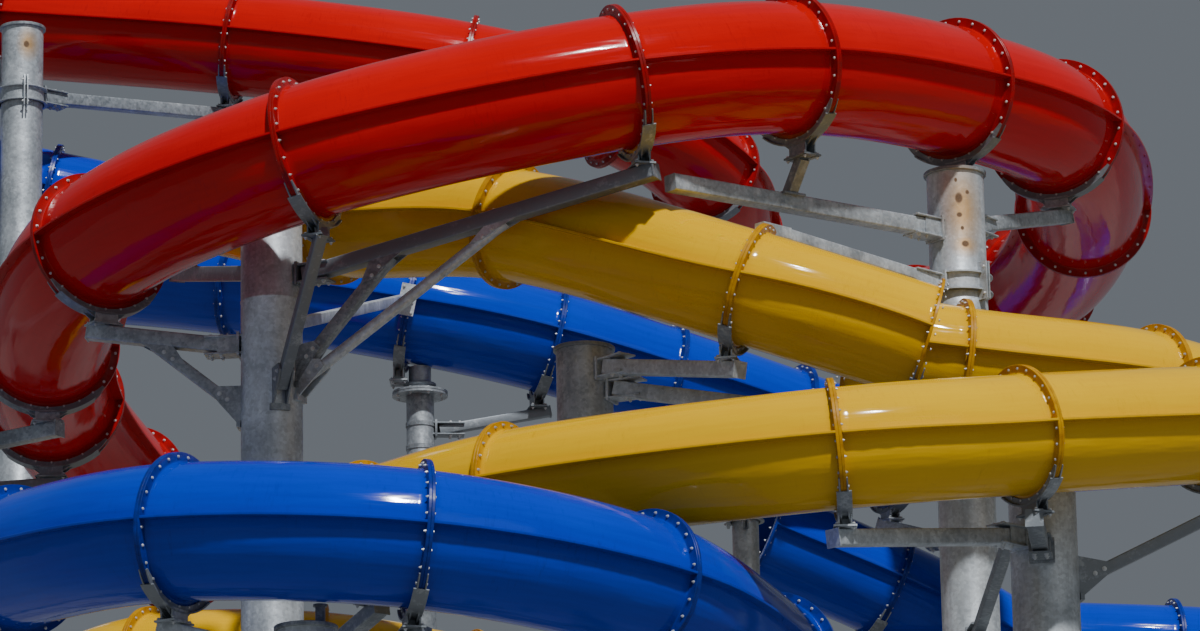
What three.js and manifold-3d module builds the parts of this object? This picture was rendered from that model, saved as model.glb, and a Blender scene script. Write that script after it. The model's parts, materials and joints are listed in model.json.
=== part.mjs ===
// Water slide tower: closed red, yellow and blue slides winding round galvanised steel columns.
// Millimetres, Z up. Stations and columns are placed in metres from a datum on the ground:
// first to the right, then to the back, then up.

import * as THREE from 'three';
import { mergeVertices } from 'three/addons/utils/BufferGeometryUtils.js';
import Module from 'manifold-3d';

const wasm = await Module();
wasm.setup();

const METRE = 1000;
const GAP = 0.3;

// Slide tubes: the radii of each colour's tubes
const SIDES = 12;
const FLANGE_PLATE = 24;
const TUBES = {
  red: { bore: 508, outside: 520, flange: 600 },
  yellow: { bore: 430, outside: 442, flange: 510 },
  blue: { bore: 474, outside: 486, flange: 560 },
};

// Steelwork
const BEAM = 120;
const STRUT = 90;
const SADDLE_PLATE = 20;
const SADDLE_WIDTH = 110;
const SADDLE_GAP = 0.45;
const SADDLE_FOOT = 110;
const CAP_PLATE = 30;
const CAP_REACH = 25;
const COLLAR_PLATE = 22;
const COLLAR_HEIGHT = 150;
const BASE_PLATE = 40;
const BASE_REACH = 170;
const COLUMN_SIDES = 20;

const PAINT = {
  red: new THREE.MeshStandardMaterial({ color: 0xd4101c, roughness: 0.22, metalness: 0 }),
  yellow: new THREE.MeshStandardMaterial({ color: 0xf7c21c, roughness: 0.25, metalness: 0 }),
  blue: new THREE.MeshStandardMaterial({ color: 0x0a4fc4, roughness: 0.22, metalness: 0 }),
  steel: new THREE.MeshStandardMaterial({ color: 0x8d969b, roughness: 0.5, metalness: 0.8 }),
};

// Flange centres of each run, from its upper end to its lower end
const RUNS = {
  red_upper: {
    paint: 'red',
    lengthsInPiece: 2,
    stations: [
      [-8.0, 11.2, 19.4], [-5.85, 10.3, 18.87], [-3.6, 9.8, 18.48], [-1.3, 9.65, 18.07],
      [0.2, 9.9, 17.72], [1.1, 11.0, 17.4], [1.35, 12.7, 17.2],
    ],
  },
  red_loop: {
    paint: 'red',
    lengthsInPiece: 1,
    stations: [
      [3.1, 8.9, 15.17], [4.04, 6.3, 14.86], [4.26, 3.6, 14.77], [3.8, 0.9, 14.7],
      [2.88, -0.4, 14.64], [1.52, -1.8, 14.42], [0.21, -2.5, 14.11], [-2.23, -2.5, 13.59],
      [-3.94, -1.0, 13.32], [-4.56, 1.0, 13.04], [-4.64, 2.4, 12.91], [-4.23, 4.2, 12.57],
      [-3.72, 5.4, 12.26],
    ],
  },
  yellow_upper: {
    paint: 'yellow',
    lengthsInPiece: 1,
    stations: [
      [-3.34, 1, 14.29], [-2.08, -0.2, 13.7], [-0.69, -1.2, 13.36], [1.15, -2.25, 12.52],
      [2.48, -2.15, 12.09],
    ],
  },
  yellow_back: {
    paint: 'yellow',
    lengthsInPiece: 3,
    stations: [[1.95, -1.15, 12.35], [2.78, -1.2, 12.17], [4.35, -0.5, 12.12], [5.64, 0.9, 12.05]],
  },
  yellow_front: {
    paint: 'yellow',
    lengthsInPiece: 1,
    stations: [
      [5.71, -1.4, 11.64], [4.55, -2.7, 11.27], [3.06, -3.8, 10.95], [1.68, -4.3, 10.75],
      [-0.68, -3.4, 10.7], [-1.75, -2.45, 10.66],
    ],
  },
  yellow_low: {
    paint: 'yellow',
    lengthsInPiece: 3,
    stations: [[-4.83, 3.2, 10.46], [-3.74, 1.9, 10.5], [-2.36, 1.7, 10.45], [-1.14, 2.2, 10.32]],
  },
  blue_far: {
    paint: 'blue',
    lengthsInPiece: 2,
    stations: [[-6.89, 9.2, 17.04], [-5.42, 9.25, 16.72], [-3.99, 9.39, 16.42]],
  },
  blue_back: {
    paint: 'blue',
    lengthsInPiece: 2,
    stations: [
      [-4.99, 8.0, 15.64], [-3.4, 7.3, 15.27], [-1.77, 7.0, 14.89], [-0.48, 7.2, 14.62],
      [0.6, 7.5, 14.33], [1.79, 8.0, 14.02], [2.86, 8.5, 13.75],
    ],
  },
  blue_low: {
    paint: 'blue',
    lengthsInPiece: 3,
    stations: [[1.5, 8.6, 13.04], [2.7, 8.9, 12.56], [3.86, 9.3, 12.01], [4.69, 9.8, 11.21]],
  },
  blue_right: {
    paint: 'blue',
    lengthsInPiece: 2,
    stations: [[4.58, 11.6, 12.47], [5.71, 11.6, 12.41], [6.95, 12.0, 12.4]],
  },
  blue_front: {
    paint: 'blue',
    lengthsInPiece: 1,
    stations: [
      [-5.59, 0.27, 10.44], [-5.21, -1.78, 10.3], [-4.26, -3.78, 10.15], [-2.96, -5.24, 10.01],
      [-1.29, -5.45, 9.88], [0.26, -4.57, 9.71], [1.21, -2.62, 9.51],
    ],
  },
};

// Columns: where the axis stands, its radius and its top; the flange it stands under, if any;
// its arms, each from a height on the column to under one flange of a run, with props from lower
// on the column to a part of the arm's length; and its level ties, clamped round other columns
const COLUMNS = {
  left_column: {
    at: [-5.6, 8.3], radius: 203, top: 18.2,
    arms: [
      { from: 17.5, run: 'red_upper', flange: 2 },
      { from: 17.8, run: 'red_upper', flange: 1 },
      { from: 15.85, run: 'blue_far', flange: 1 },
      { from: 14.7, run: 'blue_back', flange: 0 },
    ],
  },
  loop_column: {
    at: [-2.57, -1.2], radius: 242, top: 13.85,
    arms: [
      {
        from: 12.9, run: 'red_loop', flange: 6,
        props: [{ from: 11.93, along: 0.33 }, { from: 11.93, along: 0.64 }],
      },
      { from: 12.37, run: 'red_loop', flange: 8, props: [{ from: 11.7, along: 0.7 }] },
      { from: 11.8, run: 'red_loop', flange: 7, size: STRUT },
      { from: 13.0, run: 'yellow_upper', flange: 0 },
      { from: 9.4, run: 'yellow_low', flange: 2 },
      { from: 9.6, run: 'yellow_front', flange: 5 },
    ],
  },
  side_column: {
    at: [-6.8, 2.2], radius: 203, top: 12.6,
    arms: [
      { from: 12.2, run: 'red_loop', flange: 9 },
      { from: 12.0, run: 'red_loop', flange: 10 },
      { from: 9.7, run: 'blue_front', flange: 0 },
      { from: 9.1, run: 'yellow_low', flange: 0 },
    ],
  },
  middle_column: {
    at: [-0.13, -1.0], radius: 222, top: 12.4,
    arms: [
      { from: 12.25, run: 'yellow_upper', flange: 3 },
      { from: 12.1, run: 'yellow_upper', flange: 4 },
    ],
    ties: [{ to: 'right_column', height: 11.6 }, { to: 'low_column', height: 11.05 }],
  },
  back_column: {
    at: [-1.7, 7.05], radius: 130, top: 14.2, under: { run: 'blue_back', flange: 2 },
    arms: [{ from: 13.72, run: 'blue_back', flange: 3, size: STRUT }],
  },
  right_column: {
    at: [2.87, -0.4], radius: 229, top: 13.95, under: { run: 'red_loop', flange: 4 },
    arms: [
      { from: 13.5, run: 'red_loop', flange: 3 },
      { from: 13.45, run: 'red_loop', flange: 5 },
      { from: 11.2, run: 'yellow_back', flange: 1, size: STRUT },
    ],
  },
  front_column: {
    at: [3.26, -2.85], radius: 252, top: 10.85,
    arms: [
      { from: 10.2, run: 'yellow_front', flange: 2 },
      { from: 10.4, run: 'yellow_front', flange: 3 },
      { from: 9.93, run: 'yellow_front', flange: 1, size: STRUT },
      { from: 8.8, run: 'blue_front', flange: 6 },
    ],
  },
  low_column: { at: [1.1, -1.0], radius: 104, top: 11.3, arms: [] },
  blue_column: {
    at: [-2.09, -5.1], radius: 203, top: 9.35,
    arms: [
      { from: 9.1, run: 'blue_front', flange: 3 },
      { from: 9.1, run: 'blue_front', flange: 4 },
    ],
  },
  rear_column: {
    at: [3.5, 8.2], radius: 160, top: 14.3,
    arms: [
      { from: 14.1, run: 'red_loop', flange: 0 },
      { from: 12.8, run: 'blue_back', flange: 6 },
      { from: 11.5, run: 'blue_low', flange: 1 },
    ],
    ties: [{ to: 'right_column', height: 12.2 }],
  },
  turn_column: {
    at: [0.3, 12.3], radius: 203, top: 16.6,
    arms: [{ from: 16.2, run: 'red_upper', flange: 5 }],
  },
  end_column: {
    at: [5.71, 11.6], radius: 137, top: 11.8, under: { run: 'blue_right', flange: 1 }, arms: [],
    ties: [{ to: 'rear_column', height: 10 }],
  },
  far_column: {
    at: [6.4, 0.2], radius: 203, top: 11.6,
    arms: [
      { from: 11.3, run: 'yellow_back', flange: 3 },
      { from: 10.8, run: 'yellow_front', flange: 0 },
    ],
  },
};

const UP = new THREE.Vector3(0, 0, 1);

function point(place) {
  return new THREE.Vector3(...place).multiplyScalar(METRE);
}

// A closed solid from a geometry. Merging turns the triangles at a lathe's poles into lines, and
// those are left out.
function solid(geometry) {
  const bare = geometry.index ? geometry.toNonIndexed() : geometry;
  bare.deleteAttribute('normal');
  bare.deleteAttribute('uv');
  const merged = mergeVertices(bare, 1e-3);
  const corners = Array.from(merged.index.array);
  const triangles = [];
  for (let i = 0; i < corners.length; i += 3) {
    const triangle = corners.slice(i, i + 3);
    if (new Set(triangle).size === 3) triangles.push(...triangle);
  }
  return new wasm.Manifold(new wasm.Mesh({
    numProp: 3,
    vertProperties: new Float32Array(merged.attributes.position.array),
    triVerts: new Uint32Array(triangles),
  }));
}

// A named mesh from a closed solid
function mesh(name, paint, body) {
  const shape = body.getMesh();
  const geometry = new THREE.BufferGeometry();
  geometry.setAttribute('position', new THREE.BufferAttribute(shape.vertProperties, 3));
  geometry.setIndex(new THREE.BufferAttribute(shape.triVerts, 1));
  geometry.computeVertexNormals();
  const piece = new THREE.Mesh(geometry, PAINT[paint]);
  piece.name = name;
  return piece;
}

function join(solids) {
  return solids.reduce((whole, next) => whole.add(next));
}

// Side, upper and forward directions of a tube whose side ledges stay level
function levelFrame(forward) {
  const side = new THREE.Vector3().crossVectors(UP, forward).normalize();
  return { side, upper: new THREE.Vector3().crossVectors(forward, side), forward };
}

function ringPoints(radius, fromAngle, toAngle, sides) {
  return Array.from({ length: sides + 1 }, (_, i) => {
    const angle = fromAngle + (toAngle - fromAngle) * i / sides;
    return new THREE.Vector2(radius * Math.cos(angle), radius * Math.sin(angle));
  });
}

function placed(geometry, frame, place) {
  const matrix = new THREE.Matrix4().makeBasis(frame.side, frame.upper, frame.forward);
  return geometry.applyMatrix4(matrix.setPosition(place));
}

function centreLineOf(run) {
  return new THREE.CatmullRomCurve3(run.stations.map(point), false, 'centripetal');
}

function flangeAt(run, index) {
  const along = index / (run.stations.length - 1);
  const line = centreLineOf(run);
  return { centre: line.getPoint(along), frame: levelFrame(line.getTangent(along)) };
}

// Corners of the tube's outer outline with its flanges. Each holds a radius, a station to measure
// from, and how far the corner lies from that station along the tube.
function outerCorners({ outside, flange }, first, last) {
  const corners = [[0, first, GAP / 2]];
  for (let i = first; i <= last; i++) {
    if (i > first) corners.push([outside, i, -FLANGE_PLATE]);
    corners.push([flange, i, i === first ? GAP / 2 : -FLANGE_PLATE]);
    corners.push([flange, i, i === last ? -GAP / 2 : FLANGE_PLATE]);
    if (i < last) corners.push([outside, i, FLANGE_PLATE], [outside, i + 0.5, 0]);
  }
  corners.push([0, last, -GAP / 2]);
  return corners;
}

// The bore's outline, with corners level with the outer ones, and run out past both ends
function boreCorners({ bore }, first, last) {
  const corners = [[0, first, -FLANGE_PLATE], [bore, first, -FLANGE_PLATE]];
  for (let i = first; i < last; i++) {
    corners.push([bore, i, FLANGE_PLATE], [bore, i + 0.5, 0], [bore, i + 1, -FLANGE_PLATE]);
  }
  corners.push([bore, last, FLANGE_PLATE], [0, last, FLANGE_PLATE]);
  return corners;
}

// An outline turned round an axis, then laid along the run's centre line
function turned(run, corners) {
  const outline = corners.map(([radius], row) => new THREE.Vector2(radius, row));
  const geometry = new THREE.LatheGeometry(outline, SIDES);
  const line = centreLineOf(run);
  const vertices = geometry.attributes.position;
  const vertex = new THREE.Vector3();
  for (let i = 0; i < vertices.count; i++) {
    vertex.fromBufferAttribute(vertices, i);
    const [, station, offset] = corners[Math.round(vertex.y)];
    const along = station / (run.stations.length - 1);
    const { side, upper, forward } = levelFrame(line.getTangent(along));
    const place = line.getPoint(along).addScaledVector(forward, offset);
    place.addScaledVector(side, -vertex.x).addScaledVector(upper, vertex.z);
    vertices.setXYZ(i, place.x, place.y, place.z);
  }
  return solid(geometry);
}

function tubePiece(run, first, last) {
  const sizes = TUBES[run.paint];
  const outer = turned(run, outerCorners(sizes, first, last));
  return outer.subtract(turned(run, boreCorners(sizes, first, last)));
}

function bar(from, to, size) {
  const forward = to.clone().sub(from);
  const length = forward.length();
  forward.normalize();
  const side = new THREE.Vector3().crossVectors(UP, forward);
  if (side.length() < 0.05) side.set(1, 0, 0).projectOnPlane(forward);
  side.normalize();
  const frame = { side, upper: new THREE.Vector3().crossVectors(forward, side), forward };
  const middle = from.clone().add(to).multiplyScalar(0.5);
  return solid(placed(new THREE.BoxGeometry(size, size, length), frame, middle));
}

function upright(radius, bottom, top, at) {
  const geometry = new THREE.CylinderGeometry(radius, radius, top - bottom, COLUMN_SIDES);
  geometry.rotateX(Math.PI / 2);
  geometry.translate(at.x, at.y, (bottom + top) / 2);
  return solid(geometry);
}

// A curved plate that the flange sits in, with a foot under it
function saddle(run, index) {
  const { flange } = TUBES[run.paint];
  const { centre, frame } = flangeAt(run, index);
  const turn = 2 * Math.PI / SIDES;
  const from = -Math.PI / 2 - 2 * turn;
  const to = -Math.PI / 2 + 2 * turn;
  const inner = ringPoints(flange + SADDLE_GAP, from, to, 4);
  const outer = ringPoints(flange + SADDLE_PLATE, to, from, 4);
  const geometry = new THREE.ExtrudeGeometry(new THREE.Shape([...inner, ...outer]), {
    depth: SADDLE_WIDTH, bevelEnabled: false,
  });
  const start = centre.clone().addScaledVector(frame.forward, -SADDLE_WIDTH / 2);
  const seat = centre.clone().addScaledVector(frame.upper, -flange - SADDLE_PLATE / 2);
  const foot = seat.clone().addScaledVector(UP, -SADDLE_FOOT);
  return { foot, parts: [solid(placed(geometry, frame, start)), bar(foot, seat, STRUT)] };
}

// A beam out to a saddle, and its props
function arm(spec, at) {
  const { foot, parts } = saddle(RUNS[spec.run], spec.flange);
  const root = new THREE.Vector3(at.x, at.y, spec.from * METRE);
  const end = foot.clone().addScaledVector(UP, -BEAM / 4);
  parts.push(bar(root, end, spec.size ?? BEAM));
  for (const prop of spec.props ?? []) {
    const low = new THREE.Vector3(at.x, at.y, prop.from * METRE);
    parts.push(bar(low, root.clone().lerp(end, prop.along), STRUT));
  }
  return parts;
}

// A level bar to another column, clamped round it by a collar
function tie(spec, other, height) {
  const from = point([...spec.at, height]);
  const axis = point([...other.at, height]);
  const inner = ringPoints(other.radius + SADDLE_GAP, 0, 2 * Math.PI, COLUMN_SIDES).slice(0, -1);
  const outer = ringPoints(other.radius + COLLAR_PLATE, 0, 2 * Math.PI, COLUMN_SIDES).slice(0, -1);
  const band = new THREE.Shape(outer);
  band.holes.push(new THREE.Path(inner));
  const collar = new THREE.ExtrudeGeometry(band, { depth: COLLAR_HEIGHT, bevelEnabled: false });
  collar.translate(axis.x, axis.y, axis.z - COLLAR_HEIGHT / 2);
  const reach = from.distanceTo(axis) - other.radius - COLLAR_PLATE / 2;
  const to = from.clone().lerp(axis, reach / from.distanceTo(axis));
  return [solid(collar), bar(from, to, BEAM)];
}

function column(spec) {
  const at = point([...spec.at, 0]);
  const top = spec.top * METRE;
  const baseWidth = 2 * (spec.radius + BASE_REACH);
  const base = new THREE.BoxGeometry(baseWidth, baseWidth, BASE_PLATE);
  const parts = [
    upright(spec.radius, 0, top, at),
    upright(spec.radius + CAP_REACH, top - CAP_PLATE, top, at),
    solid(base.translate(at.x, at.y, BASE_PLATE / 2)),
  ];
  if (spec.under) {
    const { foot, parts: seat } = saddle(RUNS[spec.under.run], spec.under.flange);
    parts.push(...seat, bar(foot, new THREE.Vector3(at.x, at.y, top - BEAM), STRUT));
  }
  for (const armSpec of spec.arms) parts.push(...arm(armSpec, at));
  for (const { to, height } of spec.ties ?? []) parts.push(...tie(spec, COLUMNS[to], height));
  return join(parts);
}

const tower = new THREE.Group();

for (const [name, run] of Object.entries(RUNS)) {
  const lengths = run.stations.length - 1;
  for (let first = 0, piece = 1; first < lengths; first += run.lengthsInPiece, piece++) {
    const last = Math.min(first + run.lengthsInPiece, lengths);
    tower.add(mesh(`${name}_tube_${piece}`, run.paint, tubePiece(run, first, last)));
  }
}

for (const [name, spec] of Object.entries(COLUMNS)) {
  tower.add(mesh(name, 'steel', column(spec)));
}

// The origin is on the ground under the middle of the tower.
const box = new THREE.Box3().setFromObject(tower);
const middle = box.getCenter(new THREE.Vector3());
tower.position.set(-middle.x, -middle.y, -box.min.z);

export default tower;
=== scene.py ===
"""Looks of the water slide tower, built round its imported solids. Metres, Z up."""

import json
import math

import bpy
import numpy as np
from mathutils import Matrix, Vector

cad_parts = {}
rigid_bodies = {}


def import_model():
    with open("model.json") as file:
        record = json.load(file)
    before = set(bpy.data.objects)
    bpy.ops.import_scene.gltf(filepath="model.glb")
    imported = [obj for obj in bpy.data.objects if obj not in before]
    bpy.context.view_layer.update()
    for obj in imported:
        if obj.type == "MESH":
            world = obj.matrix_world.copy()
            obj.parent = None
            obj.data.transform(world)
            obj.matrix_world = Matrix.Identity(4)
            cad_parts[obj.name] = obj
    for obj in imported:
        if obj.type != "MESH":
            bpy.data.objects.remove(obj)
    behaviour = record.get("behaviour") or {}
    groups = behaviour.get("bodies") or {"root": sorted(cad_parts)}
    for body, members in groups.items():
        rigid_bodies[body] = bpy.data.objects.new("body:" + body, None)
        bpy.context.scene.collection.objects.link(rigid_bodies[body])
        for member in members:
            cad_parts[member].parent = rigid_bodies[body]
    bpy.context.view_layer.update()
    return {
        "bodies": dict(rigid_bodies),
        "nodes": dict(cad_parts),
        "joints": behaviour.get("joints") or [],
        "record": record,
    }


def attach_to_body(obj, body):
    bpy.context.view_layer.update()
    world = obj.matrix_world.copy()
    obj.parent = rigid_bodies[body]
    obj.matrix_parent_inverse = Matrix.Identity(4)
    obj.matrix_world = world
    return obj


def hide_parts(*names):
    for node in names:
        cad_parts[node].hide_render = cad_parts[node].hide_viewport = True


UP = np.array([0.0, 0.0, 1.0])
SQUARE = (np.array([1.0, 0.0, 0.0]), np.array([0.0, 1.0, 0.0]), UP)

# Slide tubes: radii, flange plate thickness and the hairline joint between two flanges
JOINT = 0.0003
PLATE = 0.024
TUBES = {
    "red": {"bore": 0.508, "outside": 0.52, "flange": 0.6},
    "yellow": {"bore": 0.43, "outside": 0.442, "flange": 0.51},
    "blue": {"bore": 0.474, "outside": 0.486, "flange": 0.56},
}
SIDES = 64
ROW_SPACING = 0.13
BORE_SPACING = 0.5
PATTERN_STEP = 7.3
LEDGE_REACH = 0.075
LEDGE_HALF = 0.01
LEDGE_BOLT_SPACING = 0.3
RING_BOLTS = 26
RING_BOLT = 0.0105
LEDGE_BOLT = 0.0055
BOLT_TONES = {"red": 0.2, "yellow": 0.95, "blue": 0.3}

# Steelwork
BEAM = 0.12
STRUT = 0.09
SADDLE_WIDTH = 0.11
SADDLE_FOOT = 0.11
SADDLE_STRAP = 0.012
CHEEK = 0.01
BRACKET = 0.014
END_PLATE = 0.01
BEAM_OVERHANG = 0.12
COLLAR_HEIGHT = 0.15
BAND_GAP = 0.0006
PIPE_SIDES = 56
WELD_HEIGHTS = (3.0, 9.0, 12.76)
WELD_SWELL = 0.0035
ANCHORS = 8
STUB_RADIUS = 0.105
STUB_TOP = 0.26
BASE_PLATE = 0.04
BASE_REACH = 0.17

# Heights of the members that only the looks have
BACK_BEAM = 12.55
COLLAR_BEAM = 13.0
PIPE_JOINT = 14.1
KNEE_BRACE = 10.05
UPPER_COLLAR = 17.48

FLOOR_REACH = 120.0

# Tube lengths in one solid, and flange centres from the upper end to the lower end, measured from
# a datum on the ground
RUNS = {
    "red_upper": (2, [
        (-8.0, 11.2, 19.4), (-5.85, 10.3, 18.87), (-3.6, 9.8, 18.48), (-1.3, 9.65, 18.07),
        (0.2, 9.9, 17.72), (1.1, 11.0, 17.4), (1.35, 12.7, 17.2),
    ]),
    "red_loop": (1, [
        (3.1, 8.9, 15.17), (4.04, 6.3, 14.86), (4.26, 3.6, 14.77), (3.8, 0.9, 14.7),
        (2.88, -0.4, 14.64), (1.52, -1.8, 14.42), (0.21, -2.5, 14.11), (-2.23, -2.5, 13.59),
        (-3.94, -1.0, 13.32), (-4.56, 1.0, 13.04), (-4.64, 2.4, 12.91), (-4.23, 4.2, 12.57),
        (-3.72, 5.4, 12.26),
    ]),
    "yellow_upper": (1, [
        (-3.34, 1, 14.29), (-2.08, -0.2, 13.7), (-0.69, -1.2, 13.36), (1.15, -2.25, 12.52),
        (2.48, -2.15, 12.09),
    ]),
    "yellow_back": (3, [
        (1.95, -1.15, 12.35), (2.78, -1.2, 12.17), (4.35, -0.5, 12.12), (5.64, 0.9, 12.05),
    ]),
    "yellow_front": (1, [
        (5.71, -1.4, 11.64), (4.55, -2.7, 11.27), (3.06, -3.8, 10.95), (1.68, -4.3, 10.75),
        (-0.68, -3.4, 10.7), (-1.75, -2.45, 10.66),
    ]),
    "yellow_low": (3, [
        (-4.83, 3.2, 10.46), (-3.74, 1.9, 10.5), (-2.36, 1.7, 10.45), (-1.14, 2.2, 10.32),
    ]),
    "blue_far": (2, [(-6.89, 9.2, 17.04), (-5.42, 9.25, 16.72), (-3.99, 9.39, 16.42)]),
    "blue_back": (2, [
        (-4.99, 8.0, 15.64), (-3.4, 7.3, 15.27), (-1.77, 7.0, 14.89), (-0.48, 7.2, 14.62),
        (0.6, 7.5, 14.33), (1.79, 8.0, 14.02), (2.86, 8.5, 13.75),
    ]),
    "blue_low": (3, [
        (1.5, 8.6, 13.04), (2.7, 8.9, 12.56), (3.86, 9.3, 12.01), (4.69, 9.8, 11.21),
    ]),
    "blue_right": (2, [(4.58, 11.6, 12.47), (5.71, 11.6, 12.41), (6.95, 12.0, 12.4)]),
    "blue_front": (1, [
        (-5.59, 0.27, 10.44), (-5.21, -1.78, 10.3), (-4.26, -3.78, 10.15), (-2.96, -5.24, 10.01),
        (-1.29, -5.45, 9.88), (0.26, -4.57, 9.71), (1.21, -2.62, 9.51),
    ]),
}

# Columns: axis, radius, top; arms as (height at the column, run, flange, size); ties as
# (other column, height); and the flange that the column stands under, if any
COLUMNS = {
    "left_column": dict(at=(-5.6, 8.3), radius=0.203, top=18.2, arms=[
        (17.5, "red_upper", 2, BEAM), (17.8, "red_upper", 1, BEAM),
        (15.85, "blue_far", 1, BEAM), (14.7, "blue_back", 0, BEAM),
    ]),
    "loop_column": dict(at=(-2.57, -1.2), radius=0.242, top=13.85, arms=[
        (12.9, "red_loop", 6, BEAM), (12.37, "red_loop", 8, BEAM), (11.8, "red_loop", 7, STRUT),
        (13.0, "yellow_upper", 0, BEAM), (9.4, "yellow_low", 2, BEAM),
        (9.6, "yellow_front", 5, BEAM),
    ]),
    "side_column": dict(at=(-6.8, 2.2), radius=0.203, top=12.6, arms=[
        (12.2, "red_loop", 9, BEAM), (12.0, "red_loop", 10, BEAM),
        (9.7, "blue_front", 0, BEAM), (9.1, "yellow_low", 0, BEAM),
    ]),
    "middle_column": dict(at=(-0.13, -1.0), radius=0.222, top=12.4, arms=[
        (12.25, "yellow_upper", 3, BEAM), (12.1, "yellow_upper", 4, BEAM),
    ], ties=[("right_column", 11.6), ("low_column", 11.05)]),
    "back_column": dict(
        at=(-1.7, 7.05), radius=0.13, top=14.2, under=("blue_back", 2),
        arms=[(13.72, "blue_back", 3, STRUT)],
    ),
    "right_column": dict(
        at=(2.87, -0.4), radius=0.229, top=13.95, under=("red_loop", 4),
        arms=[
            (13.5, "red_loop", 3, BEAM), (13.45, "red_loop", 5, BEAM),
            (11.2, "yellow_back", 1, STRUT),
        ],
    ),
    "front_column": dict(at=(3.26, -2.85), radius=0.252, top=10.85, arms=[
        (10.2, "yellow_front", 2, BEAM), (10.4, "yellow_front", 3, BEAM),
        (9.93, "yellow_front", 1, STRUT), (8.8, "blue_front", 6, BEAM),
    ]),
    "low_column": dict(at=(1.1, -1.0), radius=0.104, top=11.3, arms=[]),
    "blue_column": dict(at=(-2.09, -5.1), radius=0.203, top=9.35, arms=[
        (9.1, "blue_front", 3, BEAM), (9.1, "blue_front", 4, BEAM),
    ]),
    "rear_column": dict(at=(3.5, 8.2), radius=0.16, top=14.3, arms=[
        (14.1, "red_loop", 0, BEAM), (12.8, "blue_back", 6, BEAM), (11.5, "blue_low", 1, BEAM),
    ], ties=[("right_column", 12.2)]),
    "turn_column": dict(at=(0.3, 12.3), radius=0.203, top=16.6, arms=[
        (16.2, "red_upper", 5, BEAM),
    ]),
    "end_column": dict(
        at=(5.71, 11.6), radius=0.137, top=11.8, under=("blue_right", 1), arms=[],
        ties=[("rear_column", 10.0)],
    ),
    "far_column": dict(at=(6.4, 0.2), radius=0.203, top=11.6, arms=[
        (11.3, "yellow_back", 3, BEAM), (10.8, "yellow_front", 0, BEAM),
    ]),
}

# Props under arms: column, which arm, height at the column, part of the arm's length, round or
# not, and how dark the prop is, partly painted shade
PROPS = [
    ("loop_column", 0, 11.93, 0.33, False, 0.7), ("loop_column", 0, 11.93, 0.64, True, 0.15),
    ("loop_column", 1, 11.7, 0.7, False, 0.5),
]

# How dark the columns and the arms look from the camera, partly painted shade; the others vary by name
MEMBER_TONES_AND_SHADE = {
    "loop_column": 0.15, "right_column": 0.1, "left_column": 0.25, "middle_column": 0.4,
    "back_column": 0.55, "front_column": 0.2, "low_column": 0.35,
    "loop_column red_loop 6": 1.0, "loop_column red_loop 7": 0.95, "loop_column red_loop 8": 0.5,
    "right_column red_loop 5": 0.3, "right_column red_loop 3": 0.5,
    "left_column red_upper 1": 0.2, "middle_column yellow_upper 3": 0.2,
    "middle_column yellow_upper 4": 0.3, "front_column yellow_front 1": 0.95,
    "front_column yellow_front 3": 0.3, "back_column blue_back 3": 1.0,
}


# Vectors and lines

def unit(vector):
    return vector / np.linalg.norm(vector)


def level_frame(forward):
    """Side, upper and forward directions of a tube whose ledges stay level."""
    side = unit(np.cross(UP, forward))
    return side, np.cross(forward, side), forward


def frame_along(forward):
    """Side, upper and forward directions for a straight member, an upright one included."""
    forward = unit(forward)
    side = np.cross(UP, forward)
    if np.linalg.norm(side) < 0.05:
        side = np.array([1.0, 0.0, 0.0]) - forward[0] * forward
    side = unit(side)
    return side, np.cross(forward, side), forward


class CentreLine:
    """A smooth line through a run's stations, with station i at i along it."""

    def __init__(self, stations):
        points = np.array(stations, float)
        before = 2 * points[0] - points[1]
        after = 2 * points[-1] - points[-2]
        self.spans = len(points) - 1
        self.points = np.vstack([before, points, after])

    def point(self, along):
        i = min(int(along), self.spans - 1)
        part = along - i
        a, b, c, d = self.points[i:i + 4]
        before, here, after = (math.sqrt(np.linalg.norm(q - p)) for p, q in ((a, b), (b, c), (c, d)))
        start = here * ((b - a) / before - (c - a) / (before + here) + (c - b) / here)
        end = here * ((c - b) / here - (d - b) / (here + after) + (d - c) / after)
        cubic = 2 * b - 2 * c + start + end
        square = -3 * b + 3 * c - 2 * start - end
        return b + part * (start + part * (square + part * cubic))

    def frame(self, along):
        low = max(along - 1e-4, 0.0)
        high = min(along + 1e-4, float(self.spans))
        return level_frame(unit(self.point(high) - self.point(low)))

    def length(self, start):
        points = [self.point(start + i / 8) for i in range(9)]
        return float(sum(np.linalg.norm(q - p) for p, q in zip(points, points[1:])))


LINES = {name: CentreLine(stations) for name, (_, stations) in RUNS.items()}


def tube_of(run):
    return TUBES[run.split("_")[0]]


# Building up a piece's mesh

def fan_volume(points):
    return float(np.einsum("ij,ij->", np.cross(points[1:-1], points[2:]), points[0][None].repeat(
        len(points) - 2, 0)))


def loft(rows, wrap=False):
    """A closed skin over rows of points, facing outwards; wrap joins the last row to the first."""
    rows = np.asarray(rows, float)
    count, width = rows.shape[:2]
    index = np.arange(count * width).reshape(count, width)
    here, after = (index, np.roll(index, -1, axis=0)) if wrap else (index[:-1], index[1:])
    quads = np.stack(
        [here, np.roll(here, -1, axis=1), np.roll(after, -1, axis=1), after], axis=-1,
    ).reshape(-1, 4)
    points = rows.reshape(-1, 3)
    middle = points - points.mean(0)
    a, b, c, d = (middle[quads[:, k]] for k in range(4))
    volume = float(np.sum(a * np.cross(b, c)) + np.sum(a * np.cross(c, d)))
    faces = quads.tolist()
    if not wrap:
        ends = [index[0][::-1], index[-1]]
        volume += sum(fan_volume(middle[end]) for end in ends)
        faces += [end.tolist() for end in ends]
    if volume < 0:
        faces = [face[::-1] for face in faces]
    return points, faces


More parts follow.
